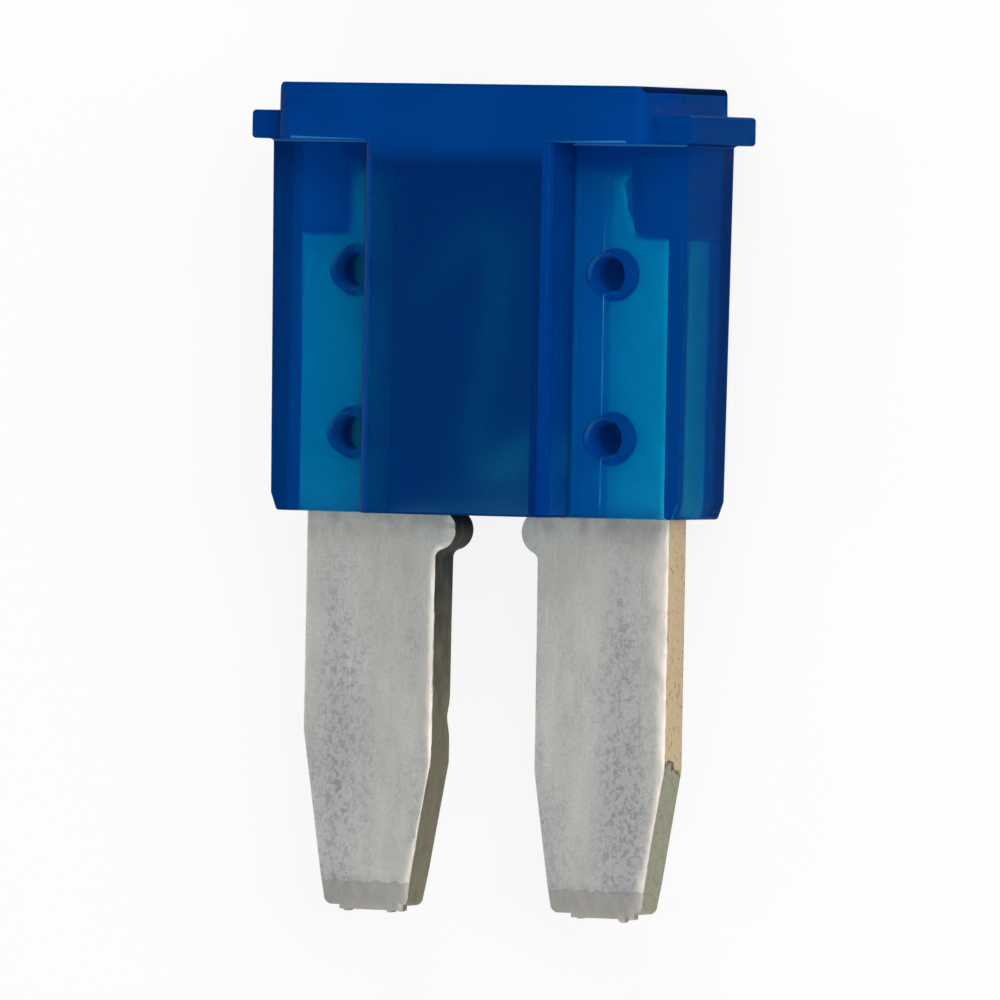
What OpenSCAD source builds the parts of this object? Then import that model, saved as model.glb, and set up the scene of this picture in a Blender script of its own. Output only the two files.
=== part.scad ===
// Micro-size automotive blade fuse with two blades, lying on its back.
// X runs across the two blades, Y towards the head and Z up out of the front face.
// The origin is under the middle of the fuse, on the surface that it lies on.

/* [Overall] */
// Length from the top of the head to the blade tips
fuse_l = 15.3; // [14.5:0.1:16.5]
// Width over the two ears
overall_w = 9.1; // [8.9:0.1:10]
// Depth of the head and of the link chamber
overall_d = 3.8; // [3.6:0.1:4.2]
// Length of the moulded housing, from the top of the head to its foot
housing_l = 7.97; // [7.8:0.1:8.4]

/* [Head] */
// Width of the head at its underside
head_w = 7.7; // [7.2:0.1:8]
// Height of the head above the side panels
head_h = 1.05; // [0.9:0.05:1.1]
// Distance that each end of the head leans in at the top
head_lean = 0.08; // [0:0.01:0.1]
// Radius of the head's two upper corners
head_corner_r = 0.15; // [0.05:0.05:0.3]
// Radius of the head's upright edges
head_edge_r = 0.4; // [0.05:0.01:0.5]

/* [Ears] */
// Depth of the ears
ear_d = 2.7; // [2.2:0.1:3.2]
// Height of the ears
ear_h = 0.53; // [0.4:0.01:0.8]
// Radius of the ears' outer corners
ear_r = 0.08; // [0.02:0.01:0.2]

/* [Side panels] */
// Width over the side panels, just under the head
panel_w = 8.6; // [8.4:0.02:8.8]
// Depth of the side panels
panel_d = 2; // [1.8:0.05:2.4]
// Draft of each end of the side panels, in degrees
panel_draft = 0.65; // [0:0.05:1]
// Height of the lead-in chamfer at the foot of each end
lead_in_h = 0.33; // [0.1:0.01:0.6]
// Width of the lead-in chamfer
lead_in_w = 0.12; // [0.05:0.01:0.25]

/* [Link chamber] */
// Width of the chamber over its front corners
chamber_front_w = 3.92; // [3.8:0.02:4]
// Width of the chamber where it meets the ramps
chamber_base_w = 4.04; // [4:0.02:4.3]
// Radius of the chamber's front corners
chamber_r = 0.2; // [0.05:0.05:0.3]
// Rise of the shallow ramp beside the chamber
ramp_h = 0.1; // [0.05:0.01:0.2]
// Width of the shallow ramp beside the chamber
ramp_w = 0.5; // [0.2:0.05:0.7]
// Wall of the chamber at its front and back
chamber_wall = 0.5; // [0.35:0.05:0.6]
// Width of the room that the link has inside
cavity_w = 2.9; // [2.6:0.05:3.1]
// Depth of solid plastic from the top of the head to that room
cavity_roof = 1.5; // [1.2:0.1:1.9]

/* [Blades] */
// Thickness of the blades
blade_t = 0.8; // [0.6:0.05:1]
// Width of each blade below the housing
blade_w = 2.67; // [2.5:0.01:2.8]
// Distance between the centre lines of the blades
blade_pitch = 4.82; // [4.7:0.02:4.9]
// Width of each blade's stem inside the housing
stem_w = 2.15; // [2:0.05:2.25]
// Depth of the stem's outer shoulder below the top of the head
shoulder_depth = 2.73; // [2.4:0.01:2.9]
// Width of the shoulder
shoulder_w = 0.7; // [0.6:0.02:0.85]
// Radius in the corner over the shoulder
shoulder_r = 0.15; // [0.06:0.01:0.25]
// Distance that the tang's outer edge leans in from the shoulder to its end
tang_lean = 0.12; // [0:0.01:0.3]
// Depth of the stem's upper end below the top of the head
tang_depth = 1.15; // [1.1:0.05:1.5]
// Free play between the metal and the plastic, on each side
play = 0.03; // [0.01:0.01:0.05]

/* [Blade tips] */
// Length of the left blade's taper along its outer edge
left_outer_taper = 3.24; // [2:0.02:3.5]
// Length of the left blade's taper along its inner edge
left_inner_taper = 2.69; // [2:0.01:3.5]
// Width of the left blade's tip
left_tip_w = 1.68; // [1.5:0.01:2]
// Length of the right blade's taper along its outer edge
right_outer_taper = 2.68; // [2:0.01:3.5]
// Length of the right blade's taper along its inner edge
right_inner_taper = 2.6; // [2:0.01:3.5]
// Width of the right blade's tip
right_tip_w = 1.83; // [1.5:0.01:2]
// Distance that the right blade's tip lies towards the other blade
right_tip_in = 0.035; // [0:0.005:0.1]
// Radius of the tips' corners
tip_r = 0.16; // [0.05:0.01:0.4]
// Length of the coined bevel at the tips
coin_l = 0.55; // [0.3:0.05:1]
// Depth of the coined bevel on each face
coin_t = 0.07; // [0.02:0.01:0.2]
// Length of the flash that the cut leaves at the tips
flash_l = 0.08; // [0.02:0.01:0.15]
// Thickness of the flash
flash_t = 0.2; // [0.1:0.05:0.4]
// Radius of the burrs on the flash
burr_r = 0.07; // [0.06:0.01:0.1]
// Distance that the highest burr stands past the flash
burr_l = 0.07; // [0.02:0.01:0.1]

/* [Seating lugs] */
// Distance of the lugs' centres below the foot of the housing
lug_drop = 0.3; // [0.2:0.01:0.6]
// Radius of the left lug
left_lug_r = 0.38; // [0.3:0.01:0.45]
// Reach of the left lug past the blade's inner edge
left_lug_reach = 0.41; // [0.25:0.01:0.45]
// Radius of the right lug
right_lug_r = 0.42; // [0.3:0.01:0.45]
// Reach of the right lug past the blade's inner edge
right_lug_reach = 0.34; // [0.25:0.01:0.45]
// Radius of the hollow under each lug
lug_fillet_r = 0.16; // [0.05:0.01:0.3]

/* [Fuse link] */
// Width of the link
link_w = 0.5; // [0.3:0.05:0.6]
// Thickness of the link
link_t = 0.3; // [0.2:0.05:0.5]
// Depth of the link's root on the left stem below the top of the head
link_left_root = 4.35; // [4:0.05:5]
// Depth of the link's root on the right stem below the top of the head
link_right_root = 6.2; // [5.8:0.05:6.5]
// Depth of the upper bend's crown below the top of the head
link_crown = 2.45; // [2.2:0.05:2.8]
// Depth of the lower bend's base below the top of the head
link_base = 7.35; // [7:0.05:7.6]
// Radius of the upper bend, on the link's centre line
upper_bend_r = 0.42; // [0.35:0.01:0.5]
// Radius of the lower bend, on the link's centre line
lower_bend_r = 0.48; // [0.4:0.01:0.55]
// Distance of the upper bend's centre left of the middle
upper_bend_x = 0.12; // [0:0.01:0.3]
// Distance of the lower bend's centre right of the middle
lower_bend_x = 0.28; // [0:0.01:0.4]

/* [Stakes] */
// Depth of the upper stakes' centres below the top of the head
stake_depth = 3.47; // [3.4:0.01:3.6]
// Distance between an upper and a lower stake
stake_pitch = 3.03; // [2.8:0.01:3.2]
// Diameter of the holes through the blades
stake_hole_d = 1; // [0.8:0.05:1.2]
// Diameter of each staking pit at the panel's face
pit_mouth_d = 0.78; // [0.6:0.02:0.9]
// Diameter of each staking pit at its floor
pit_floor_d = 0.54; // [0.4:0.02:0.6]
// Depth of each staking pit
pit_depth = 0.52; // [0.3:0.02:0.6]
// Height of the plastic that each stake pushes into the blade
boss_h = 0.26; // [0.1:0.02:0.3]

/* [Test wells] */
// Width of the test wells over the ends of the tangs
well_w = 0.7; // [0.4:0.05:0.8]
// Depth of the test wells, front to back
well_d = 0.9; // [0.6:0.05:1.2]
// Chamfer round the wells' mouths
well_lead = 0.1; // [0.02:0.01:0.15]

/* [Hidden] */
$fn = 64;
eps = 0.01;
arc_steps = 8;

overall_l = fuse_l + flash_l + burr_l;
mid_z = overall_d / 2;
blade_outer = blade_pitch / 2 + blade_w / 2;
blade_inner = blade_pitch / 2 - blade_w / 2;
stem_inner = blade_outer - stem_w;
stem_mid = blade_outer - stem_w / 2;
tang_foot = blade_outer - shoulder_w;
tang_end = tang_foot - tang_lean;
tip_y = y_at(fuse_l);
lug_depth = housing_l + lug_drop;
ear_depth = head_h - ear_h;
boss_d = stake_hole_d - 2 * play;
slot_t = blade_t + 2 * play;
well_x = tang_end - well_w / 2;
tang_a = atan(tang_lean / (shoulder_depth - tang_depth));
shoulder_centre = [tang_foot + shoulder_r * tan(45 - tang_a / 2), y_at(shoulder_depth) + shoulder_r];

// Where the flash starts and ends, outwards from the middle of each tip
left_flash = [-0.77, 0.54];
right_flash = [-0.51, 0.78];

// Burrs on the flash: each one's place and its share of the highest burr's length
left_burrs = [[-0.7, 0.3], [-0.5, 0.6], [0.4, 0.5]];
right_burrs = [[-0.34, 0.3], [0.53, 1], [0.71, 0.2]];

// A depth below the top of the head, as a place along Y
function y_at(depth) = overall_l / 2 - depth;

// Points along an arc, from one angle to another
function arc_points(centre, r, from, to, steps = arc_steps) =
    [for (i = [0 : steps]) let (a = from + (to - from) * i / steps)
        centre + r * [cos(a), sin(a)]];

// The stem's outer edge from its shoulder to the tang's end, moved outwards by a gap
function stem_edge(gap = 0) = concat(
    [[blade_outer + gap, y_at(shoulder_depth) + gap]],
    arc_points(shoulder_centre, shoulder_r - gap, 270, 180 + tang_a),
    [[tang_end + gap / cos(tang_a) - gap * tan(tang_a), y_at(tang_depth) + gap]]);

module both_sides() {
    children();
    mirror([1, 0, 0]) children();
}

module both_faces() {
    children();
    translate([0, 0, 2 * mid_z]) mirror([0, 0, 1]) children();
}

// A front view raised through a depth that is centred on the blades
module raised(depth) {
    translate([0, 0, mid_z - depth / 2]) linear_extrude(depth) children();
}

// A plan, drawn in X and depth, run down from one depth below the head's top to another
module run_down(from, to) {
    translate([0, y_at(from), mid_z]) rotate([90, 0, 0]) linear_extrude(to - from) children();
}

module rounded_rect(w, h, r) {
    square([w - 2 * r, h], center = true);
    square([w, h - 2 * r], center = true);
    for (x = [-1, 1], y = [-1, 1])
        translate([x * (w / 2 - r), y * (h / 2 - r)]) circle(r);
}

// Head

module head_front() {
    top_w = head_w / 2 - head_lean;
    corner = [top_w - head_corner_r, y_at(head_corner_r)];
    right = arc_points(corner, head_corner_r, 0, 90);
    polygon(concat(
        [[head_w / 2, y_at(head_h)]], right,
        [for (i = [arc_steps : -1 : 0]) [-right[i][0], right[i][1]]],
        [[-head_w / 2, y_at(head_h)]]));
}

module head() {
    intersection() {
        raised(overall_d) head_front();
        run_down(0, head_h) rounded_rect(head_w, overall_d, head_edge_r);
    }
}

module ears() {
    translate([0, y_at(ear_depth + ear_h / 2), 0])
        raised(ear_d) rounded_rect(overall_w, ear_h, ear_r);
}

// Body

module body_front() {
    top = y_at(head_h) + eps;
    foot = y_at(housing_l);
    foot_w = panel_w / 2 - (housing_l - head_h) * tan(panel_draft);
    polygon([
        [-panel_w / 2, top], [panel_w / 2, top],
        [foot_w, foot + lead_in_h], [foot_w - lead_in_w, foot],
        [lead_in_w - foot_w, foot], [-foot_w, foot + lead_in_h]]);
}

module chamber_section() {
    base = chamber_base_w / 2;
    front = chamber_front_w / 2;
    face = overall_d / 2;
    ramp_top = panel_d / 2 + ramp_h;
    lean = atan((base - front) / (face - ramp_top));
    corner = arc_points([front - chamber_r, face - chamber_r], chamber_r, lean, 90);
    quarter = concat([[base + ramp_w, 0], [base + ramp_w, panel_d / 2], [base, ramp_top]], corner);
    last = len(quarter) - 1;
    polygon(concat(
        quarter, [for (i = [last : -1 : 1]) [-quarter[i][0], quarter[i][1]]],
        [for (i = [0 : last]) -quarter[i]],
        [for (i = [last : -1 : 1]) [quarter[i][0], -quarter[i][1]]]));
}

module body() {
    intersection() {
        raised(overall_d) body_front();
        run_down(head_h - eps, housing_l) {
            chamber_section();
            square([panel_w, panel_d], center = true);
        }
    }
}

// Room inside

module blade_pockets() {
    open_end = y_at(housing_l) - eps;
    side = cavity_w / 2 - eps;
    both_sides() raised(slot_t) polygon(concat(
        [[side, open_end], [blade_outer + play, open_end]], stem_edge(play),
        [[side, y_at(tang_depth) + play]]));
}

module link_cavity() {
    translate([-cavity_w / 2, y_at(housing_l) - eps, 0])
        raised(overall_d - 2 * chamber_wall) square([cavity_w, housing_l - cavity_roof + eps]);
}

// Side of a well's mouth, which widens to the top over the lead's own height
module mouth_side(w) {
    top = y_at(-eps);
    polygon([
        [-w / 2, y_at(well_lead)], [w / 2, y_at(well_lead)],
        [w / 2 + well_lead + eps, top], [-w / 2 - well_lead - eps, top]]);
}

module test_wells() {
    both_sides() translate([well_x, 0, 0]) {
        run_down(-eps, tang_depth) square([well_w, well_d], center = true);
        intersection() {
            raised(overall_d) mouth_side(well_w);
            translate([0, 0, mid_z]) rotate([0, 90, 0])
                linear_extrude(head_w, center = true) mouth_side(well_d);
        }
    }
}

// Stakes, which lock the blades in place

module at_stakes() {
    both_sides() for (i = [0, 1])
        translate([stem_mid, y_at(stake_depth + i * stake_pitch), 0]) children();
}

module stake_bosses() {
    at_stakes() both_faces() translate([0, 0, mid_z + slot_t / 2 - boss_h])
        cylinder(h = boss_h + eps, d = boss_d);
}

module stake_pits() {
    panel_z = mid_z + panel_d / 2;
    at_stakes() both_faces() {
        translate([0, 0, panel_z - pit_depth])
            cylinder(h = pit_depth + eps, d1 = pit_floor_d, d2 = pit_mouth_d);
        translate([0, 0, panel_z]) cylinder(h = ramp_h + eps, d = pit_mouth_d);
    }
}

module housing() {
    color([0.02, 0.2, 0.55, 0.7]) difference() {
        union() {
            difference() {
                union() {
                    head();
                    ears();
                    body();
                }
                blade_pockets();
                link_cavity();
                test_wells();
            }
            stake_bosses();
        }
        stake_pits();
    }
}

// One stamped strip: two blades and the link between them

// taper holds the lengths of the taper along the outer and the inner edge
module blade_front(taper, tip_w, tip_in) {
    centre = blade_pitch / 2 - tip_in;
    outer = centre + tip_w / 2;
    inner = centre - tip_w / 2;
    outer_lean = atan((blade_outer - outer) / taper[0]);
    inner_lean = atan((inner - blade_inner) / taper[1]);
    polygon(concat(
        [[blade_outer, tip_y + taper[0]]], stem_edge(),
        [[stem_inner, y_at(tang_depth)], [stem_inner, y_at(housing_l)],
         [blade_inner, y_at(housing_l)], [blade_inner, tip_y + taper[1]]],
        arc_points([inner + tip_r * tan(45 - inner_lean / 2), tip_y + tip_r], tip_r,
                   180 + inner_lean, 270),
        arc_points([outer - tip_r * tan(45 - outer_lean / 2), tip_y + tip_r], tip_r,
                   270, 360 - outer_lean)));
}

// A round lug on the blade's inner edge, with a hollow under it that runs into the edge
module lug(r, reach) {
    lug_x = blade_inner - reach + r;
    hollow_x = blade_inner - lug_fillet_r;
    hollow_drop = sqrt(pow(r + lug_fillet_r, 2) - pow(lug_x - hollow_x, 2));
    touch = r / (r + lug_fillet_r);
    translate([0, y_at(lug_depth)]) difference() {
        union() {
            translate([lug_x, 0]) circle(r);
            polygon([[lug_x, 0],
                     [lug_x + (hollow_x - lug_x) * touch, -hollow_drop * touch],
                     [blade_inner, -hollow_drop], [blade_inner + r, -hollow_drop],
                     [blade_inner + r, 0]]);
        }
        translate([hollow_x, -hollow_drop]) circle(lug_fillet_r);
    }
}

// The blade's thickness, seen from the side, with the bevel coined at the tip
module blade_side() {
    flat = blade_t / 2;
    polygon([
        [tip_y, coin_t - flat], [tip_y + coin_l, -flat], [overall_l / 2, -flat],
        [overall_l / 2, flat], [tip_y + coin_l, flat], [tip_y, flat - coin_t]]);
}

// Flash along the front edge of a tip, with its burrs
module flash(tip_in, ends, burrs) {
    front = mid_z + blade_t / 2 - coin_t;
    translate([blade_pitch / 2 - tip_in, tip_y, front - flash_t]) linear_extrude(flash_t) {
        translate([ends[0], -flash_l]) square([ends[1] - ends[0], flash_l + tip_r / 2]);
        for (burr = burrs)
            translate([burr[0], burr_r - flash_l - burr[1] * burr_l]) circle(burr_r);
    }
}

module blade(taper, tip_w, tip_in, lug_r, lug_reach) {
    difference() {
        intersection() {
            raised(blade_t) {
                blade_front(taper, tip_w, tip_in);
                lug(lug_r, lug_reach);
            }
            translate([0, 0, mid_z]) rotate([90, 0, 90]) linear_extrude(overall_w) blade_side();
        }
        for (i = [0, 1])
            translate([stem_mid, y_at(stake_depth + i * stake_pitch), mid_z - blade_t])
                cylinder(h = 2 * blade_t, d = stake_hole_d);
    }
}

// One edge of the link, which lies half a width to the left or right of its centre line
function link_edge(side) =
    let (upper = [-upper_bend_x, y_at(link_crown + link_w / 2 + upper_bend_r)],
         lower = [lower_bend_x, y_at(link_base - link_w / 2 - lower_bend_r)],
         span = upper - lower,
         leg_a = atan2(span[1], span[0]),
         swing = asin((upper_bend_r + lower_bend_r) / norm(span)),
         leg = leg_a - 90 - swing,
         root_l = [-stem_inner - link_w / 2, y_at(link_left_root)],
         root_r = [stem_inner + link_w / 2, y_at(link_right_root)],
         climb = rising_angle(root_l, upper, upper_bend_r),
         fall = rising_angle(-root_r, -lower, lower_bend_r))
    concat(
        [root_l + side * link_w / 2 * [-sin(climb), cos(climb)]],
        arc_points(upper, upper_bend_r + side * link_w / 2, climb + 90, leg),
        arc_points(lower, lower_bend_r - side * link_w / 2, leg + 180, fall + 270),
        [root_r + side * link_w / 2 * [-sin(fall), cos(fall)]]);

// Direction of the line from a root that touches the upper side of a bend
function rising_angle(root, bend, r) =
    let (to = bend - root) atan2(to[1], to[0]) + asin(r / norm(to));

module link() {
    left = link_edge(1);
    right = link_edge(-1);
    raised(link_t) polygon(concat(left, [for (i = [len(right) - 1 : -1 : 0]) right[i]]));
}

module fuse_element() {
    color([0.68, 0.67, 0.64]) {
        blade([right_outer_taper, right_inner_taper], right_tip_w, right_tip_in,
              right_lug_r, right_lug_reach);
        flash(right_tip_in, right_flash, right_burrs);
        mirror([1, 0, 0]) {
            blade([left_outer_taper, left_inner_taper], left_tip_w, 0, left_lug_r, left_lug_reach);
            flash(0, left_flash, left_burrs);
        }
        link();
    }
}

housing();
fuse_element();
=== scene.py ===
import math

import bmesh
import bpy
from mathutils import Matrix, Vector, noise
from mathutils.bvhtree import BVHTree


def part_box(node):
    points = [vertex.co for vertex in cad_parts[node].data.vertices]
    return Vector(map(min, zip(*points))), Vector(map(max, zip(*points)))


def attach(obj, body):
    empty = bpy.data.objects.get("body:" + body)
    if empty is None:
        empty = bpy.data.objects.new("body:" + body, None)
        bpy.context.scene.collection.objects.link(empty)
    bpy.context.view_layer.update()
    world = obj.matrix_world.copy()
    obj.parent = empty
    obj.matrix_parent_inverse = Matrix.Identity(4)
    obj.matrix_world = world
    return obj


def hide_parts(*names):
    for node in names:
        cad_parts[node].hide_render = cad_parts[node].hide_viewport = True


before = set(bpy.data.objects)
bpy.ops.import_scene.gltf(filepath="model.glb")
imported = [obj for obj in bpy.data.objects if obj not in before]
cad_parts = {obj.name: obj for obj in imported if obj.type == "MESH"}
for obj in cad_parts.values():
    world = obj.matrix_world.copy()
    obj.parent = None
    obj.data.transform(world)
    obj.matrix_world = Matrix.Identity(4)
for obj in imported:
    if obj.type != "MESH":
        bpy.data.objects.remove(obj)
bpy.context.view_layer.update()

mm = 0.001
midZ = (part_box("fuse_element")[0].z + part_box("fuse_element")[1].z) / 2    # the blades' mid-plane
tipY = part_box("fuse_element")[0].y
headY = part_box("housing")[1].y
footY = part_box("housing")[0].y


# Node helpers

def newMaterial(name):
    mat = bpy.data.materials.new(name)
    mat.use_nodes = True
    mat.node_tree.nodes.clear()
    return mat, mat.node_tree


def attributeNode(tree, name):
    node = tree.nodes.new("ShaderNodeAttribute")
    node.attribute_name = name
    return node.outputs["Fac"]


def axisNode(tree, axis):
    place = tree.nodes.new("ShaderNodeTexCoord")
    split = tree.nodes.new("ShaderNodeSeparateXYZ")
    tree.links.new(place.outputs["Object"], split.inputs["Vector"])
    return split.outputs[axis]


def noiseNode(tree, size, stretch=(1, 1, 1), detail=2.0, distortion=0.0):
    # size is that of one blot, and stretch makes it longer along an axis
    place = tree.nodes.new("ShaderNodeTexCoord")
    turn = tree.nodes.new("ShaderNodeMapping")
    turn.inputs["Scale"].default_value = [1 / (size * longer) for longer in stretch]
    pattern = tree.nodes.new("ShaderNodeTexNoise")
    pattern.inputs["Scale"].default_value = 1.0
    pattern.inputs["Detail"].default_value = detail
    pattern.inputs["Distortion"].default_value = distortion
    tree.links.new(place.outputs["Object"], turn.inputs["Vector"])
    tree.links.new(turn.outputs["Vector"], pattern.inputs["Vector"])
    return pattern.outputs["Fac"]


def rangeNode(tree, source, fromLow, fromHigh, toLow=0.0, toHigh=1.0):
    spread = tree.nodes.new("ShaderNodeMapRange")
    for key, value in (("From Min", fromLow), ("From Max", fromHigh), ("To Min", toLow), ("To Max", toHigh)):
        spread.inputs[key].default_value = value
    tree.links.new(source, spread.inputs["Value"])
    return spread.outputs["Result"]


def mathNode(tree, kind, *values):
    # each value is a number or another node's output
    node = tree.nodes.new("ShaderNodeMath")
    node.operation = kind
    for socket, value in zip(node.inputs, values):
        if isinstance(value, float):
            socket.default_value = value
        else:
            tree.links.new(value, socket)
    return node.outputs["Value"]


def timesNode(tree, first, second):
    return mathNode(tree, "MULTIPLY", first, second)


def mostNode(tree, first, second):
    return mathNode(tree, "MAXIMUM", first, second)


def blendNode(tree, share, low, high):
    # low and high are a colour or another node's output
    mix = tree.nodes.new("ShaderNodeMix")
    mix.data_type = "RGBA"
    tree.links.new(share, mix.inputs["Factor"])
    for socket, colour in ((mix.inputs[6], low), (mix.inputs[7], high)):
        if isinstance(colour, tuple):
            socket.default_value = (*colour, 1)
        else:
            tree.links.new(colour, socket)
    return mix.outputs[2]


def maskNode(tree, source, start, mask):
    # mask: where it begins and is full, measured from start, and its two values if not nought and one
    begin, full, *values = mask
    return rangeNode(tree, source, start + begin, start + full, *values)


def bandNode(tree, source, start, band):
    # one in the band, nought outside. band: its two ends, measured from start, and their softness
    low, high, soft = band
    rise = rangeNode(tree, source, start + low - soft, start + low + soft)
    return timesNode(tree, rise, rangeNode(tree, source, start + high + soft, start + high - soft))


def patternNode(tree, pattern):
    # pattern: what noiseNode takes, then what rangeNode takes
    blots, spread = pattern
    return rangeNode(tree, noiseNode(tree, *blots), *spread)


def bumpNode(tree, height, depth):
    bump = tree.nodes.new("ShaderNodeBump")
    bump.inputs["Strength"].default_value = 1.0
    bump.inputs["Distance"].default_value = depth
    tree.links.new(height, bump.inputs["Height"])
    return bump.outputs["Normal"]


# Housing: the moulded plastic

housingSet = {
    "edgeRound": 0.05 * mm,       # radius of the moulded outer edges
    "edgeSteps": 3,
    "edgeBend": 40,               # degrees between two faces from which their edge is rounded
    "edgeLength": 0.15 * mm,      # shorter edges stay sharp, except this near the foot
    "footNear": 0.01 * mm,
    "smoothAngle": 34,
    "clearTint": (0.30, 0.95, 0.95),     # what the clear share of each surface lets through
    "hazeTint": (0.0, 0.16, 0.90),       # what the milky share sends back
    "hazeCloud": (0.0, 0.19, 0.96),
    "clouds": ((2.2 * mm,), (0.35, 0.65)),
    "hazeShade": (0.0, 0.02, 0.16),      # the milky share where shade is painted on it
    # milky share, roughness and painted shade of the skin and of its parts
    "skin": (0.22, 0.12, 0.0),
    "edge": (0.24, 0.12, 0.15),
    "chamberEdge": (0.50, 0.50, 0.85),
    "highlightedEdge": (0.45, 0.20, 0.0),
    "side": (0.20, 0.34, 0.0),
    "head": (0.28, 0.12, 0.20),
    "top": (0.06, 0.30, 0.3),
    "chamber": (0.48, 0.12, 0.90),
    "ramp": (0.66, 0.12, 0.80),
    "pocket": (0.05, 0.35, 0.0),
    "room": (0.32, 0.70, 1.0),
    "well": (0.80, 0.60, 0.3),
    "pit": (0.50, 0.30, 0.45),
    "pitFloor": (0.50, 0.40, 0.0),
    "headRows": [(0.93 + 0.07 * k) * mm for k in range(9)],     # cuts below the head's top
    # how much painted highlight the head's lower edges and the rims of the pits take, and how much painted
    # light the pits' bottoms take
    "underHighlight": 0.45,
    "rimHighlight": (0.5, 1.4, 0.4),         # share, and the slope that it starts from
    "pitFloorLight": 0.4,
    "paintedLightTint": (0.10, 0.58, 0.92),     # painted highlights on the head's lower edges, the pits' rims and the crease of the right panel, and painted light on the pits' floors
    # painted shade at the outer edges of the panels, where no metal lies behind: across, in depth, below the
    # head's top
    "outerLeft": (-3.80 * mm, -3.90 * mm, 0.0, 0.4),
    "outerRight": (3.9 * mm, 4.0 * mm, 0.0, 0.5),
    "outerBack": (-0.4 * mm, -0.6 * mm),
    "outerTop": (-1.05 * mm, -1.15 * mm),
    # painted shade beside the tangs, where the plastic is solid: across, below the head's top
    "tangShadeLeft": (-2.78 * mm, -2.90 * mm),
    "tangShadeRight": (3.22 * mm, 3.34 * mm),
    "tangShadeFoot": (-2.85 * mm, -2.75 * mm),
    "headShade": (-1.77 * mm, -1.33 * mm),      # the shade under the head
    # the clear share's colour where shade is painted, and where the plastic is thick
    "shadeAndThickTint": (0.05, 0.28, 0.58),
    # a band of painted shade beside the crease, and a darker band on the chamber's left flank and its height
    "creaseShadeBand": (1.9 * mm, 2.60 * mm, 0.03 * mm),
    "creaseShadeShare": 0.32,
    "flankBand": (-2.1 * mm, -1.27 * mm, 0.05 * mm),
    "flankFront": (1.5 * mm, 1.6 * mm, 0.0, 0.55),
    "foot": (1.2 * mm, 0.0),             # painted light close above the foot, where the metal lies nearest
    "footTint": (0.75, 1.0, 1.0),
    # the painted highlight along the crease: its line, how it fades, its distance from the foot and the
    # head, its height
    "creaseAt": 2.63 * mm,
    "creaseHighlight": (-0.007 * mm, 0.007 * mm, 0.007 * mm),
    "creaseFade": ((0.5 * mm, (1, 1.5, 1)), (0.35, 0.6, 0.45, 1.0)),
    "creaseFoot": 0.2 * mm,
    "creaseHead": 2.6 * mm,
    "creaseSoft": 0.2 * mm,
    "creaseFront": (0.9 * mm, 1.1 * mm, 0.02 * mm),
    "creaseMilk": 0.7,
    "grain": (0.07 * mm,),
    "grainDepth": 0.0012 * mm,
    "streaks": (0.16 * mm, (1, 14, 4), 1.0),
    "streakDepth": 0.003 * mm,
    "specular": 0.08,
    "specularTint": (0.05, 0.6, 1.0),
    "ior": 1.52,
    "absorbColour": (0.0, 0.80, 0.85),
    "absorbDensity": 2250.0,      # per metre
}


def outerEdges(tree, s):
    # painted shade at the outer edges of the panels
    across = axisNode(tree, "X")
    right = timesNode(tree, maskNode(tree, across, 0, s["outerRight"]),
                      maskNode(tree, axisNode(tree, "Z"), midZ, s["outerBack"]))
    both = mostNode(tree, maskNode(tree, across, 0, s["outerLeft"]), right)
    return timesNode(tree, both, maskNode(tree, axisNode(tree, "Y"), headY, s["outerTop"]))


# where the clear share is darker: painted shade beside the tangs, under the head, beside the crease and at
# the outer edges, and the thick plastic of the chamber's flank
def shadeAndThickParts(tree, s, outer):
    # where the clear share is darker
    across, high = axisNode(tree, "X"), axisNode(tree, "Y")
    tangShade = mathNode(tree, "ADD", maskNode(tree, across, 0, s["tangShadeLeft"]),
                     maskNode(tree, across, 0, s["tangShadeRight"]))
    tangShade = timesNode(tree, tangShade, maskNode(tree, high, headY, s["tangShadeFoot"]))
    darkened = mostNode(tree, tangShade, maskNode(tree, high, headY, s["headShade"]))
    # painted shade in a band beside the crease
    creaseShade = timesNode(tree, bandNode(tree, across, 0, s["creaseShadeBand"]), s["creaseShadeShare"])
    darkened = mostNode(tree, darkened, creaseShade)
    darkened = mostNode(tree, darkened, outer)
    flank = timesNode(tree, bandNode(tree, across, 0, s["flankBand"]),
                      maskNode(tree, axisNode(tree, "Z"), midZ, s["flankFront"]))
    return mostNode(tree, darkened, flank)


def creaseHighlight(tree, s):
    # a painted highlight along the crease of the right panel, broken up, between the foot and the head
    line = bandNode(tree, axisNode(tree, "X"), s["creaseAt"], s["creaseHighlight"])
    line = timesNode(tree, line, patternNode(tree, s["creaseFade"]))
    ends = (footY + s["creaseFoot"], headY - s["creaseHead"], s["creaseSoft"])
    line = timesNode(tree, line, bandNode(tree, axisNode(tree, "Y"), 0, ends))
    return timesNode(tree, line, bandNode(tree, axisNode(tree, "Z"), midZ, s["creaseFront"]))


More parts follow.
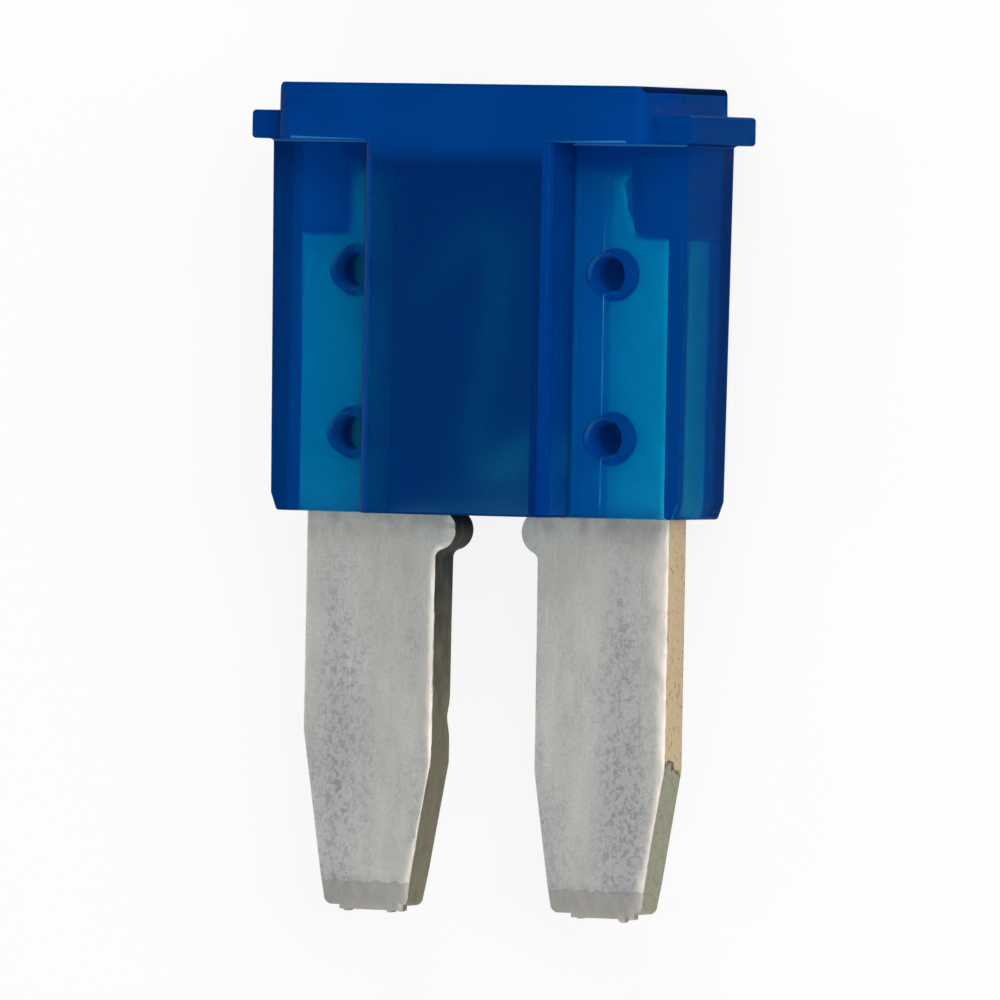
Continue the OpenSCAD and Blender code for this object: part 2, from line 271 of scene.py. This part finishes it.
def housingPlastic(s):
    mat, tree = newMaterial("bluePlastic")
    nodes, links = tree.nodes, tree.links
    out = nodes.new("ShaderNodeOutputMaterial")
    clear = nodes.new("ShaderNodeBsdfRefraction")
    haze = nodes.new("ShaderNodeBsdfPrincipled")
    haze.inputs["Specular IOR Level"].default_value = s["specular"]
    haze.inputs["Specular Tint"].default_value = (*s["specularTint"], 1)
    outer = outerEdges(tree, s)
    creaseHighlightShare = creaseHighlight(tree, s)
    # painted light close above the foot
    foot = maskNode(tree, axisNode(tree, "Y"), footY, s["foot"])
    through = blendNode(tree, foot, s["clearTint"], s["footTint"])
    # painted shade darkens the clear share beside the tangs, under the head, beside the crease and at the
    # outer edges; thick plastic darkens the chamber's flank
    through = blendNode(tree, shadeAndThickParts(tree, s, outer), through, s["shadeAndThickTint"])
    links.new(through, clear.inputs["Color"])
    tint = blendNode(tree, patternNode(tree, s["clouds"]), s["hazeTint"], s["hazeCloud"])
    # painted shade on the milky share, by part and at the outer edges
    tint = blendNode(tree, mostNode(tree, attributeNode(tree, "paintedShade"), outer), tint, s["hazeShade"])
    # painted highlights along the crease, on the head's lower edges and on the pits' rims, and painted light
    # on the pits' floors
    paintedLight = mostNode(tree, creaseHighlightShare, attributeNode(tree, "paintedLight"))
    links.new(blendNode(tree, paintedLight, tint, s["paintedLightTint"]), haze.inputs["Base Color"])
    grain = timesNode(tree, noiseNode(tree, *s["grain"]), s["grainDepth"] / s["streakDepth"])
    height = mathNode(tree, "ADD", grain, noiseNode(tree, *s["streaks"]))
    normal = bumpNode(tree, height, s["streakDepth"])
    for shader in (clear, haze):
        shader.inputs["IOR"].default_value = s["ior"]
        links.new(attributeNode(tree, "blur"), shader.inputs["Roughness"])
        links.new(normal, shader.inputs["Normal"])
    inside = nodes.new("ShaderNodeVolumeAbsorption")
    inside.inputs["Color"].default_value = (*s["absorbColour"], 1)
    inside.inputs["Density"].default_value = s["absorbDensity"]
    mix = nodes.new("ShaderNodeMixShader")
    # the painted highlight along the crease is milkier too
    milk = mostNode(tree, attributeNode(tree, "milk"), timesNode(tree, creaseHighlightShare, s["creaseMilk"]))
    links.new(milk, mix.inputs[0])
    links.new(clear.outputs[0], mix.inputs[1])
    links.new(haze.outputs["BSDF"], mix.inputs[2])
    links.new(mix.outputs["Shader"], out.inputs["Surface"])
    links.new(inside.outputs["Volume"], out.inputs["Volume"])
    return mat


# Helpers for the pieces

meshSet = {
    "joined": 1e-7,               # vertices this close are one
    "flatAngle": 0.4,             # packed triangles within these degrees are one flat face
    "wideFace": 0.4 * mm * mm,
    "wideBend": 1,                # degrees from which two wide flat faces meet in a sharp edge
}


def copyOfNode(node):
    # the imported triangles, joined again into whole flat faces
    bm = bmesh.new()
    bm.from_mesh(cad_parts[node].data)
    bmesh.ops.remove_doubles(bm, verts=bm.verts, dist=meshSet["joined"])
    bmesh.ops.dissolve_limit(bm, angle_limit=math.radians(meshSet["flatAngle"]),
                             verts=bm.verts, edges=bm.edges)
    return bm


def middleOf(edge):
    return (edge.verts[0].co + edge.verts[1].co) / 2


def roundEdges(bm, edges, radius, steps):
    return bmesh.ops.bevel(bm, geom=edges, affect="EDGES", offset=radius, offset_type="OFFSET",
                           segments=steps, profile=0.5, material=-1, clamp_overlap=False)


def cutAcross(bm, parts, place, normal):
    bmesh.ops.bisect_plane(bm, geom=parts, dist=meshSet["joined"], plane_co=place, plane_no=normal)


def cutRow(bm, y):
    cutAcross(bm, bm.verts[:] + bm.edges[:] + bm.faces[:], (0, y, 0), (0, 1, 0))


def finishPiece(bm, name, mat, node, smoothAngle):
    # an edge is sharp where it is steep, or where two wide flat faces meet
    for face in bm.faces:
        face.smooth = True
    for e in bm.edges:
        bend = math.degrees(e.calc_face_angle(0))
        bent = bend > meshSet["wideBend"]
        if bend > smoothAngle or bent and min(f.calc_area() for f in e.link_faces) > meshSet["wideFace"]:
            e.smooth = False
    bmesh.ops.triangulate(bm, faces=[f for f in bm.faces if len(f.verts) > 4], ngon_method="BEAUTY")
    mesh = bpy.data.meshes.new(name)
    bm.to_mesh(mesh)
    bm.free()
    mesh.materials.append(mat)
    piece = bpy.data.objects.new(name, mesh)
    bpy.context.scene.collection.objects.link(piece)
    even = piece.modifiers.new("evenShading", "WEIGHTED_NORMAL")
    even.keep_sharp = True
    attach(piece, "root")
    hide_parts(node)
    return piece


# zones of the housing, in millimetres from its middle to either side, from its mid-plane to
# either face, and below the head's top
anywhere = (-1, 99)
zones = {
    "room": ((-1, 1.47), (-1, 1.42), (1.4, 99)),
    "well": ((-1, 3.3), (-1, 0.46), (0.01, 1.2)),
    "pocket": ((1.3, 3.81), (-1, 0.46), (1.1, 99)),
    "pitWall": (anywhere, (0.5, 99), anywhere),
    "pitDepth": (anywhere, (-1, 0.99), anywhere),
    "pitRim": (anywhere, (0.9, 99), anywhere),
    "ramp": ((1.44, 1.97), (1.02, 99), (0.93, 99)),
    "chamber": ((-1, 1.97), (1.02, 99), (0.93, 99)),
    "chamberSides": ((-1, 2.1), anywhere, (1.1, 99)),
    "top": (anywhere, anywhere, (-1, 0.15)),
    "side": ((4.0, 99), anywhere, anywhere),
    "head": (anywhere, anywhere, (-1, 1.06)),
    "underHead": ((-1, 3.6), anywhere, (0.98, 1.1)),
}
pits = {
    "across": 2.67,               # from the middle to either side
    "below": (3.47, 6.5),         # below the head's top
    "radius": 0.52,
}
# how far a face looks along an axis, at least or at most
looks = {
    "pitFloor": 0.99,
    "topRises": 0.15,
    "topLevel": 0.5,
    "side": 0.7,
    "head": 0.5,
    "underHead": 0.3,
}


def placeOf(p):
    return abs(p.x) / mm, abs(p.z - midZ) / mm, (headY - p.y) / mm


def inZone(p, name):
    return all(low < value < high for value, (low, high) in zip(placeOf(p), zones[name]))


def nearPit(p):
    x, z, below = placeOf(p)
    return inZone(p, "pitWall") and any(
        math.hypot(x - pits["across"], below - depth) < pits["radius"] for depth in pits["below"])


def insideAt(p):
    # which hollow in the plastic a point borders on
    return next((name for name in ("room", "well", "pocket") if inZone(p, name)), "")


def partAt(p, normal):
    # which part of the plastic's surface a point is on
    if insideAt(p):
        return insideAt(p)
    if nearPit(p) and inZone(p, "pitDepth"):
        return "pitFloor" if abs(normal.z) > looks["pitFloor"] else "pit"
    fits = {
        "ramp": True,
        "chamber": True,
        "top": normal.y > looks["topRises"] and abs(normal.z) < looks["topLevel"],
        "side": abs(normal.x) > looks["side"],
        "head": abs(normal.z) > looks["head"],
    }
    return next((name for name, faces in fits.items() if faces and inZone(p, name)), "skin")


def mouldedEdges(bm, s):
    # outer edges, without those of the pits and of the hollows inside
    found = []
    for e in bm.edges:
        if len(e.link_faces) != 2 or e.calc_face_angle(0) < math.radians(s["edgeBend"]):
            continue
        middle = middleOf(e)
        if nearPit(middle) or insideAt(middle):
            continue
        if e.calc_length() > s["edgeLength"] or abs(middle.y - footY) < s["footNear"]:
            found.append(e)
    return found


def buildHousing(s):
    bm = copyOfNode("housing")
    layerNames = ("milk", "blur", "paintedShade", "paintedLight", "rounded")
    for name in layerNames:
        bm.faces.layers.float.new(name)
    milk, blur, paintedShade, paintedLight, rounded = (bm.faces.layers.float[name] for name in layerNames)
    moulded = mouldedEdges(bm, s)
    print("edges to round:", len(moulded))
    for face in roundEdges(bm, moulded, s["edgeRound"], s["edgeSteps"])["faces"]:
        face[rounded] = 1.0
    # the head and the chamber share their front face, so rows are cut for the change between them
    for depth in s["headRows"]:
        cutRow(bm, headY - depth)
    firstRow, lastRow = s["headRows"][0], s["headRows"][-1]
    rimShare, slopeFull, slopeFrom = s["rimHighlight"]
    for face in bm.faces:
        middle = face.calc_center_median()
        part = partAt(middle, face.normal)
        # light catches the lower edges of the head and the upper left of the pits' rims
        under = inZone(middle, "underHead") and abs(face.normal.z) > looks["underHead"]
        if face[rounded] and under:
            part = "highlightedEdge"
            face[paintedLight] = s["underHighlight"]
        elif face[rounded] and inZone(middle, "chamberSides"):
            part = "chamberEdge"
        elif face[rounded] and part in ("skin", "side", "head"):
            part = "edge"
        # each part's milky share, roughness and painted shade
        face[milk], face[blur], face[paintedShade] = s[part]
        if part == "chamber":
            share = min(1.0, max(0.0, (headY - middle.y - firstRow) / (lastRow - firstRow)))
            blended = (a + (b - a) * share for a, b in zip(s["head"], s["chamber"]))
            face[milk], face[blur], face[paintedShade] = blended
        elif part == "pit" and middle.z > midZ and inZone(middle, "pitRim"):
            slope = (face.normal.x - face.normal.y) / slopeFull
            face[paintedLight] = rimShare * max(0.0, slope - slopeFrom)
        # painted light on the pits' floors, which lie in shade
        elif part == "pitFloor":
            face[paintedLight] = s["pitFloorLight"]
    bm.faces.layers.float.remove(rounded)
    return finishPiece(bm, "housingShell", housingPlastic(s), "housing", s["smoothAngle"])


# Fuse element: one stamped strip

elementSet = {
    "edgeRound": 0.035 * mm,
    "edgeSteps": 2,
    "edgeBend": 50,               # degrees between two faces from which their edge is rounded
    "edgeLength": 0.12 * mm,      # shorter edges stay sharp, and so do those of the tips
    "tipKept": 0.3 * mm,
    "smoothAngle": 35,
    "halfThick": 0.4 * mm,
    "gridX": 0.06 * mm,           # cells of the blades' faces
    "gridY": 0.12 * mm,
    "gridOuter": 3.78 * mm,       # where the columns begin, from the middle, and how wide they reach
    "gridWidth": 2.9 * mm,
    "frontLooks": 0.9,            # the front faces look up this much and lie this far above the mid-plane
    "frontFrom": 0.3 * mm,
    "cutLooks": 0.4,              # a punched side looks up or down less than this
    # sides beside which the front edge is drawn down: the left blade's up to just above the foot,
    # the right blade's from a place across, and how they look to the right and up
    "drawnLeft": (-1.75 * mm, -0.5 * mm),
    "drawnLeftTop": 0.3 * mm,
    "drawnRight": 2.85 * mm,
    "drawnLooks": (0.2, 0.3),
    "drawnFrom": 0.5,             # part of the half thickness from which the metal sinks
    # where the punch drew the right-hand edges down: distance below the foot, width, depth
    "leftRoll": ((0.0, 0.15, 0.06), (4.1, 0.17, 0.07), (4.9, 0.05, 0.02), (5.7, 0.05, 0.02),
                 (6.4, 0.16, 0.06), (7.3, 0.14, 0.05)),
    "rightRoll": ((-5.2, 0.12, 0.05), (-0.4, 0.16, 0.06), (0.0, 0.38, 0.08), (4.5, 0.38, 0.08),
                  (5.1, 0.14, 0.04), (6.1, 0.14, 0.04), (6.7, 0.26, 0.06), (7.5, 0.24, 0.06)),
    # how the width and the depth waver: mean, share, scale across and along, seed
    "widthWaver": (0.85, 0.55, 1, 5, 7),
    "depthWaver": (0.9, 0.6, 3, 9, 3),
    # a nick in the left blade's back inner edge: distance below the foot, half length, depth
    "nick": (3.8, 0.22, 0.055),
    "nickAcross": (-1.2 * mm, -0.9 * mm),
    "nickTop": 0.2,               # part of the half thickness up to which it reaches
    # chip in the right tang's outer edge: distances below the head's top, depth
    "chip": (1.6, 2.5, 0.16),
    "chipFrom": 2.5,              # across, and how far it reaches from there
    "chipReach": 0.55,
    "chipBite": (0.6, 4, 0.5, 12),       # least bite, scale of the coarse one, share and scale of the fine
    "chipEnds": 5,                # how steeply it runs out at its ends
    "metal": (0.645, 0.65, 0.605),
    "metalLight": (0.725, 0.73, 0.685),
    "metalLilac": (0.57, 0.56, 0.61),
    # dark worms; also the colour of the painted shade just below the foot
    "wormAndShade": (0.36, 0.37, 0.39),
    "scratch": (0.86, 0.86, 0.84),
    "insideLight": (0.95, 0.96, 0.95),         # painted light on the right blade inside the housing
    # painted highlight along the drawn-down right-hand edges
    "rollHighlight": (0.82, 0.76, 0.70),
    "coined": (0.50, 0.49, 0.455),
    "stain": (0.62, 0.47, 0.42),
    # punched sides: painted shade on the left one, a painted shadow near its top, and the right one's
    # plating with painted light from the right
    "cutLeftShade": (0.30, 0.275, 0.195),
    "cutLeftShadow": (0.09, 0.095, 0.095),
    "cutRightLit": (0.66, 0.53, 0.34),
    "cutWorn": (0.37, 0.37, 0.28),
    "breakLine": (0.16, 0.08, 0.03),
    "speck": (0.20, 0.15, 0.10),
    # patterns, as patternNode takes them
    "clouds": ((0.9 * mm, (0.7, 1.6, 1), 3.0), (0.35, 0.65)),
    "patches": ((0.5 * mm, (1, 4, 1), 2.0), (0.40, 0.64)),
    "worms": ((0.105 * mm, (1, 1.3, 1), 3.0, 1.0), (0.49, 0.60)),
    "grain": ((0.05 * mm, (1, 1.3, 1), 3.0), (0.4, 0.75, 0.0, 0.26)),
    "scratches": ((0.03 * mm, (1, 45, 1), 1.0, 0.2), (0.66, 0.76, 0.0, 0.3)),
    "lineGaps": ((0.2 * mm, (1, 3, 1)), (0.45, 0.55, 0.1, 0.6)),
    "footShadeBlots": ((0.35 * mm, (1, 1.6, 1), 3.0), (0.42, 0.62)),
    "stains": ((0.5 * mm, (1.4, 1, 1), 3.0), (0.5, 0.68, 0.0, 0.5)),
    "cutBlots": ((0.3 * mm, (1, 2, 1), 3.0), (0.3, 0.7, -0.3, 0.3)),
    "specks": ((0.07 * mm, (1, 1.4, 0.8), 2.0), (0.60, 0.68, 0.0, 0.6)),
    "dullness": ((0.15 * mm, (1, 2, 1), 3.0), (0.3, 0.7, 0.51, 0.65)),      # the roughness
    # lilac bands across the two blades, what bands and patches add, and how they grow below the foot
    "leftBand": (-3.30 * mm, -2.75 * mm, 0.16 * mm),
    "rightBand": (2.55 * mm, 3.25 * mm, 0.2 * mm),
    "bandAdds": 0.6,
    "patchAdds": 0.4,
    "bandGrows": (-0.5 * mm, -2.4 * mm, 0.25, 1.0),
    "lilacShare": 0.8,
    "wormShare": 0.95,
    # a long scratch: across, below the foot
    "line": (3.234 * mm, 3.246 * mm, 0.004 * mm),
    "lineEnds": (-4.6 * mm, -0.8 * mm, 0.2 * mm),
    # painted light on the right blade inside the housing: where it begins, and across
    "insideLightFrom": (0.05 * mm, 0.25 * mm),
    "insideLightSide": (0.0, 0.5 * mm, 0.0, 0.8),
    # share of the painted highlight along the drawn-down edges
    "rollHighlightShare": (0.0, 0.6, 0.0, 0.85),
    # painted shade in blots just below the foot: its band and its share
    "footShadeBand": (-0.28 * mm, 0.1 * mm, 0.25 * mm),
    "footShadeShare": 0.6,
    # the coined ends: height above the tips, how their upper edge wanders, its softness and its rim
    "coinTop": 0.67 * mm,
    "coinWander": (0.22 * mm, (1, 1, 1), 3.0, 0.5),
    "coinWanders": 0.22 * mm,
    "coinEdge": (0.03 * mm, -0.03 * mm, 0.0, 0.75),
    "coinRim": (-0.012 * mm, 0.012 * mm, 0.012 * mm),
    "coinRimShare": 0.55,
    # the punched sides: where the painted shadow on the left one grows, and how the right one's plating ends
    "cutShadowGrows": (-3.6 * mm, -0.8 * mm),
    "breakAt": 4.35 * mm,         # below the foot
    "breakSlope": -0.4,           # the line climbs towards the front
    "breakWander": (0.16 * mm, (1, 1, 1), 4.0),
    "breakWanders": 0.5 * mm,
    "breakEdge": (0.02 * mm, -0.02 * mm),
    "breakBand": (-0.03 * mm, 0.03 * mm, 0.02 * mm),
    "sides": (-0.05 * mm, 0.05 * mm),
    "dents": (0.10 * mm, (1, 1.6, 1), 4.0, 0.8),
    "dentDepth": 0.004 * mm,
    "rollDents": 1.6,             # how much deeper the dents are where the edge is drawn down
}


def along(points, place):
    # straight lines between the points of a list, whose first value is the place
    before = points[0]
    for after in points[1:]:
        if place < after[0]:
            share = max(0.0, (place - before[0]) / (after[0] - before[0]))
            return [a + (b - a) * share for a, b in zip(before[1:], after[1:])]
        before = after
    return list(before[1:])


def lilacBand(tree, s, across, low):
    # the bands that carry the worms, stronger towards the tips
    both = mathNode(tree, "ADD", bandNode(tree, across, 0, s["leftBand"]),
                    bandNode(tree, across, 0, s["rightBand"]))
    patches = timesNode(tree, patternNode(tree, s["patches"]), s["patchAdds"])
    band = mathNode(tree, "MULTIPLY_ADD", both, s["bandAdds"], patches)
    return timesNode(tree, band, maskNode(tree, low, footY, s["bandGrows"]))


def bladeColour(tree, s):
    # front and back faces: cloudy, with lilac bands that carry dark worms, and a few long scratches
    across, low = axisNode(tree, "X"), axisNode(tree, "Y")
    band = lilacBand(tree, s, across, low)
    worms = timesNode(tree, timesNode(tree, patternNode(tree, s["worms"]), band), s["wormShare"])
    line = timesNode(tree, bandNode(tree, across, 0, s["line"]), patternNode(tree, s["lineGaps"]))
    line = timesNode(tree, line, bandNode(tree, low, footY, s["lineEnds"]))
    # painted light on the right blade inside the housing
    insideLight = timesNode(tree, maskNode(tree, low, footY, s["insideLightFrom"]),
                      maskNode(tree, across, 0, s["insideLightSide"]))
    # painted highlight along the drawn-down edges
    roll = maskNode(tree, attributeNode(tree, "roll"), 0, s["rollHighlightShare"])
    # painted shade in blots just below the foot
    footShadeBlots = timesNode(tree, patternNode(tree, s["footShadeBlots"]), bandNode(tree, low, footY, s["footShadeBand"]))
    wander = noiseNode(tree, *s["coinWander"])
    wander = mathNode(tree, "MULTIPLY_ADD", wander, s["coinWanders"], low)
    coin = maskNode(tree, wander, tipY + s["coinTop"], s["coinEdge"])
    rim = bandNode(tree, wander, tipY + s["coinTop"], s["coinRim"])
    colour = blendNode(tree, patternNode(tree, s["clouds"]), s["metal"], s["metalLight"])
    layers = (
        (timesNode(tree, band, s["lilacShare"]), "metalLilac"),
        (worms, "wormAndShade"),
        (patternNode(tree, s["grain"]), "wormAndShade"),
        (patternNode(tree, s["scratches"]), "scratch"),
        (line, "wormAndShade"),
        (insideLight, "insideLight"),
        (roll, "rollHighlight"),
        (timesNode(tree, footShadeBlots, s["footShadeShare"]), "wormAndShade"),
        (coin, "coined"),
        (timesNode(tree, rim, s["coinRimShare"]), "wormAndShade"),
        (timesNode(tree, patternNode(tree, s["stains"]), coin), "stain"),
    )
    for share, name in layers:
        colour = blendNode(tree, share, colour, s[name])
    return colour


def cutColour(tree, s):
    # punched sides: painted shade on the left blade's, and the right blade's plated down to a ragged brown
    # line, with painted light from the right on its plating
    low = axisNode(tree, "Y")
    # painted shadow on the left punched side, growing towards the top, in blots
    high = mathNode(tree, "ADD", maskNode(tree, low, footY, s["cutShadowGrows"]),
                    patternNode(tree, s["cutBlots"]))
    left = blendNode(tree, high, s["cutLeftShade"], s["cutLeftShadow"])
    wander = mathNode(tree, "MULTIPLY_ADD", axisNode(tree, "Z"), s["breakSlope"], low)
    ragged = noiseNode(tree, *s["breakWander"])
    wander = mathNode(tree, "MULTIPLY_ADD", ragged, s["breakWanders"], wander)
    breakY = footY - s["breakAt"] + s["breakSlope"] * midZ
    # painted light from the right on the plated part, worn below the ragged line
    right = blendNode(tree, maskNode(tree, wander, breakY, s["breakEdge"]), s["cutRightLit"], s["cutWorn"])
    right = blendNode(tree, bandNode(tree, wander, breakY, s["breakBand"]), right, s["breakLine"])
    right = blendNode(tree, patternNode(tree, s["specks"]), right, s["speck"])
    return blendNode(tree, maskNode(tree, axisNode(tree, "X"), 0, s["sides"]), left, right)


def platedMetal(s):
    mat, tree = newMaterial("platedZinc")
    links = tree.links
    out = tree.nodes.new("ShaderNodeOutputMaterial")
    body = tree.nodes.new("ShaderNodeBsdfPrincipled")
    body.inputs["Metallic"].default_value = 1.0
    colour = blendNode(tree, attributeNode(tree, "cut"), bladeColour(tree, s), cutColour(tree, s))
    links.new(colour, body.inputs["Base Color"])
    links.new(patternNode(tree, s["dullness"]), body.inputs["Roughness"])
    rucked = mathNode(tree, "MULTIPLY_ADD", attributeNode(tree, "roll"), s["rollDents"], 1.0)
    dents = timesNode(tree, noiseNode(tree, *s["dents"]), rucked)
    links.new(bumpNode(tree, dents, s["dentDepth"]), body.inputs["Normal"])
    links.new(body.outputs["BSDF"], out.inputs["Surface"])
    return mat


def rightHandSides(bm, s):
    # the cut faces that look to the right, whose upper edges the punch drew down
    corners, polygons = [], []
    inner, outer = s["drawnLeft"]
    rightward, level = s["drawnLooks"]
    for face in bm.faces:
        middle = face.calc_center_median()
        left = inner < middle.x < outer and middle.y < footY + s["drawnLeftTop"]
        right = middle.x > s["drawnRight"]
        if face.normal.x > rightward and abs(face.normal.z) < level and (left or right):
            polygons.append(range(len(corners), len(corners) + len(face.verts)))
            corners.extend(v.co.copy() for v in face.verts)
    return BVHTree.FromPolygons(corners, [list(p) for p in polygons])


def bladeFacesAt(bm, s, x):
    # front faces of the blades that the plane at x crosses, with their edges and vertices
    parts = set()
    for face in bm.faces:
        if face.normal.z <= s["frontLooks"] or face.calc_center_median().z <= midZ + s["frontFrom"]:
            continue
        if min(v.co.x for v in face.verts) < x < max(v.co.x for v in face.verts):
            parts.update((face, *face.edges, *face.verts))
    return list(parts)


def cutGrid(bm, s):
    # rows across the whole strip, then columns on the front faces of the blades
    for k in range(1, int((headY - tipY) / s["gridY"])):
        cutRow(bm, tipY + k * s["gridY"])
    for side in (-1, 1):
        for k in range(1, int(s["gridWidth"] / s["gridX"])):
            x = side * s["gridOuter"] - side * k * s["gridX"]
            cutAcross(bm, bladeFacesAt(bm, s, x), (x, 0, 0), (1, 0, 0))


def waver(shape, x, y):
    mean, share, scaleX, scaleY, seed = shape
    return mean + share * noise.noise((x * scaleX, y * scaleY, seed))


def drawDown(v, s, sides, below, height, roll):
    # the front edge beside a punched side sinks, and the roll attribute says how much
    width, depth = along(s["leftRoll"] if v.co.x < 0 else s["rightRoll"], below)
    width *= waver(s["widthWaver"], v.co.x / mm, below) * mm
    depth *= waver(s["depthWaver"], v.co.x / mm, below) * mm
    near = sides.find_nearest(v.co)
    if near[0] is not None and height > s["drawnFrom"] and near[3] < width:
        share = 1 - near[3] / width
        v[roll] = share
        v.co.z -= depth * share * share * height


def chipTang(v, s):
    top, low, depth = s["chip"]
    least, coarse, share, fine = s["chipBite"]
    below = (headY - v.co.y) / mm
    beyond = v.co.x / mm - s["chipFrom"]
    if beyond > 0 and top < below < low:
        bite = least + abs(noise.noise((0, below * coarse, 0.5)))
        bite += share * abs(noise.noise((3, below * fine, 0)))
        ends = min(1, s["chipEnds"] * min(below - top, low - below))
        v.co.x -= depth * bite * ends * beyond / s["chipReach"] * mm


def nickBlade(v, s, below, height):
    place, half, depth = s["nick"]
    inner, outer = s["nickAcross"]
    towardsBack = (s["nickTop"] - height) / (s["nickTop"] + 1)     # one at the back face
    if inner < v.co.x < outer and towardsBack > 0:
        v.co.x -= depth * mm * math.exp(-((below - place) / half) ** 2) * towardsBack


def buildElement(s):
    bm = copyOfNode("fuse_element")
    sides = rightHandSides(bm, s)
    outline = []
    for e in bm.edges:
        if len(e.link_faces) == 2 and e.calc_face_angle(0) > math.radians(s["edgeBend"]):
            if e.calc_length() > s["edgeLength"] and middleOf(e).y > tipY + s["tipKept"]:
                outline.append(e)
    roundEdges(bm, outline, s["edgeRound"], s["edgeSteps"])
    print("strip rounded:", len(bm.faces), "faces")
    cutGrid(bm, s)
    print("strip cut into cells:", len(bm.faces), "faces")
    cut = bm.faces.layers.float.new("cut")
    roll = bm.verts.layers.float.new("roll")
    for face in bm.faces:
        face[cut] = 1.0 if abs(face.normal.z) < s["cutLooks"] else 0.0
    for v in bm.verts:
        below = (footY - v.co.y) / mm
        height = (v.co.z - midZ) / s["halfThick"]     # -1 on the back face, 1 on the front
        drawDown(v, s, sides, below, height, roll)
        chipTang(v, s)
        nickBlade(v, s, below, height)
    return finishPiece(bm, "fuseStrip", platedMetal(s), "fuse_element", s["smoothAngle"])


housing = buildHousing(housingSet)
print("housing built:", len(housing.data.polygons), "faces")
element = buildElement(elementSet)
print("fuse element built:", len(element.data.polygons), "faces")


# Floor, light and camera

stageSet = {
    "floor": (0.93, 0.93, 0.93),
    "floorGlow": 0.86,            # share of the floor that shows plain white to the camera
    "floorRoughness": 0.9,
    "floorSize": 600 * mm,
    "world": (0.03, 0.03, 0.03),
    "lampDistance": 0.22,
    # each lamp: direction it shines from, size, power in watts
    "lamps": {
        "keyRight": ((0.72, 0.25, 0.62), (0.16, 0.16), 0.30),
        "headSide": ((0.10, 0.80, 0.60), (0.20, 0.12), 0.21),
        "footSide": ((0.15, -0.80, 0.60), (0.20, 0.12), 0.21),
        "lowLeft": ((-0.90, 0.05, 0.40), (0.12, 0.20), 0.11),
        "thinStrip": ((-0.26, 0.0, 0.966), (0.02, 0.25), 0.05),
    },
}


def paleFloor(s):
    mat, tree = newMaterial("paleFloor")
    nodes, links = tree.nodes, tree.links
    out = nodes.new("ShaderNodeOutputMaterial")
    body = nodes.new("ShaderNodeBsdfPrincipled")
    body.inputs["Base Color"].default_value = (*s["floor"], 1)
    body.inputs["Roughness"].default_value = s["floorRoughness"]
    body.inputs["Specular IOR Level"].default_value = 0.0
    glow = nodes.new("ShaderNodeEmission")
    path = nodes.new("ShaderNodeLightPath")
    mix = nodes.new("ShaderNodeMixShader")
    links.new(rangeNode(tree, path.outputs["Is Camera Ray"], 0, 1, 0, s["floorGlow"]), mix.inputs[0])
    links.new(body.outputs["BSDF"], mix.inputs[1])
    links.new(glow.outputs["Emission"], mix.inputs[2])
    links.new(mix.outputs["Shader"], out.inputs["Surface"])
    return mat


def buildFloor(s):
    bm = bmesh.new()
    bmesh.ops.create_grid(bm, x_segments=1, y_segments=1, size=s["floorSize"] / 2)
    mesh = bpy.data.meshes.new("floor")
    bm.to_mesh(mesh)
    bm.free()
    mesh.materials.append(paleFloor(s))
    floor = bpy.data.objects.new("floor", mesh)
    bpy.context.scene.collection.objects.link(floor)


def addLamp(name, direction, size, power, distance):
    light = bpy.data.lights.new(name, "AREA")
    light.shape = "RECTANGLE"
    light.size, light.size_y = size
    light.energy = power
    lamp = bpy.data.objects.new(name, light)
    bpy.context.scene.collection.objects.link(lamp)
    lamp.location = Vector(direction).normalized() * distance
    lamp.rotation_euler = (-lamp.location).to_track_quat("-Z", "Y").to_euler()


def buildLight(s):
    world = bpy.data.worlds.new("studio")
    bpy.context.scene.world = world
    world.use_nodes = True
    world.node_tree.nodes["Background"].inputs["Color"].default_value = (*s["world"], 1)
    for name, (direction, size, power) in s["lamps"].items():
        addLamp(name, direction, size, power, s["lampDistance"])


cameraSet = {
    "turn": 26.53,            # degrees to the right of straight above
    "rise": 0.83,             # degrees towards the head
    "roll": 1.073,            # degrees that the fuse leans clockwise
    "distance": 300 * mm,
    "pixelsPerMm": 53.833,    # at the middle of the blades
    "photoSize": 1000,
    "centrePixel": (496.45, 501.474),    # where the middle of the fuse lies in the photograph
    "sensorWidth": 36,
    "clip": (0.01, 10),
}


def buildCamera(s):
    turn, rise, roll = (math.radians(s[k]) for k in ("turn", "rise", "roll"))
    back = Vector((math.sin(turn) * math.cos(rise), math.sin(rise), math.cos(turn) * math.cos(rise)))
    side = Vector((math.cos(turn), 0, -math.sin(turn)))
    up = back.cross(side)
    right = math.cos(roll) * side + math.sin(roll) * up
    up = back.cross(right)
    half = s["photoSize"] / 2
    step = mm / s["pixelsPerMm"]
    aim = Vector((0, 0, midZ)) - right * (s["centrePixel"][0] - half) * step \
        + up * (s["centrePixel"][1] - half) * step
    data = bpy.data.cameras.new("camera")
    data.sensor_width = s["sensorWidth"]
    data.lens = data.sensor_width * s["distance"] / (s["photoSize"] * step)
    data.clip_start, data.clip_end = s["clip"]
    camera = bpy.data.objects.new("camera", data)
    bpy.context.scene.collection.objects.link(camera)
    turnTo = Matrix((right, up, back)).transposed().to_4x4()
    camera.matrix_world = Matrix.Translation(aim + back * s["distance"]) @ turnTo
    bpy.context.scene.camera = camera


buildFloor(stageSet)
buildLight(stageSet)
buildCamera(cameraSet)
bpy.context.scene.view_settings.view_transform = "Standard"
print("floor, light and camera set")
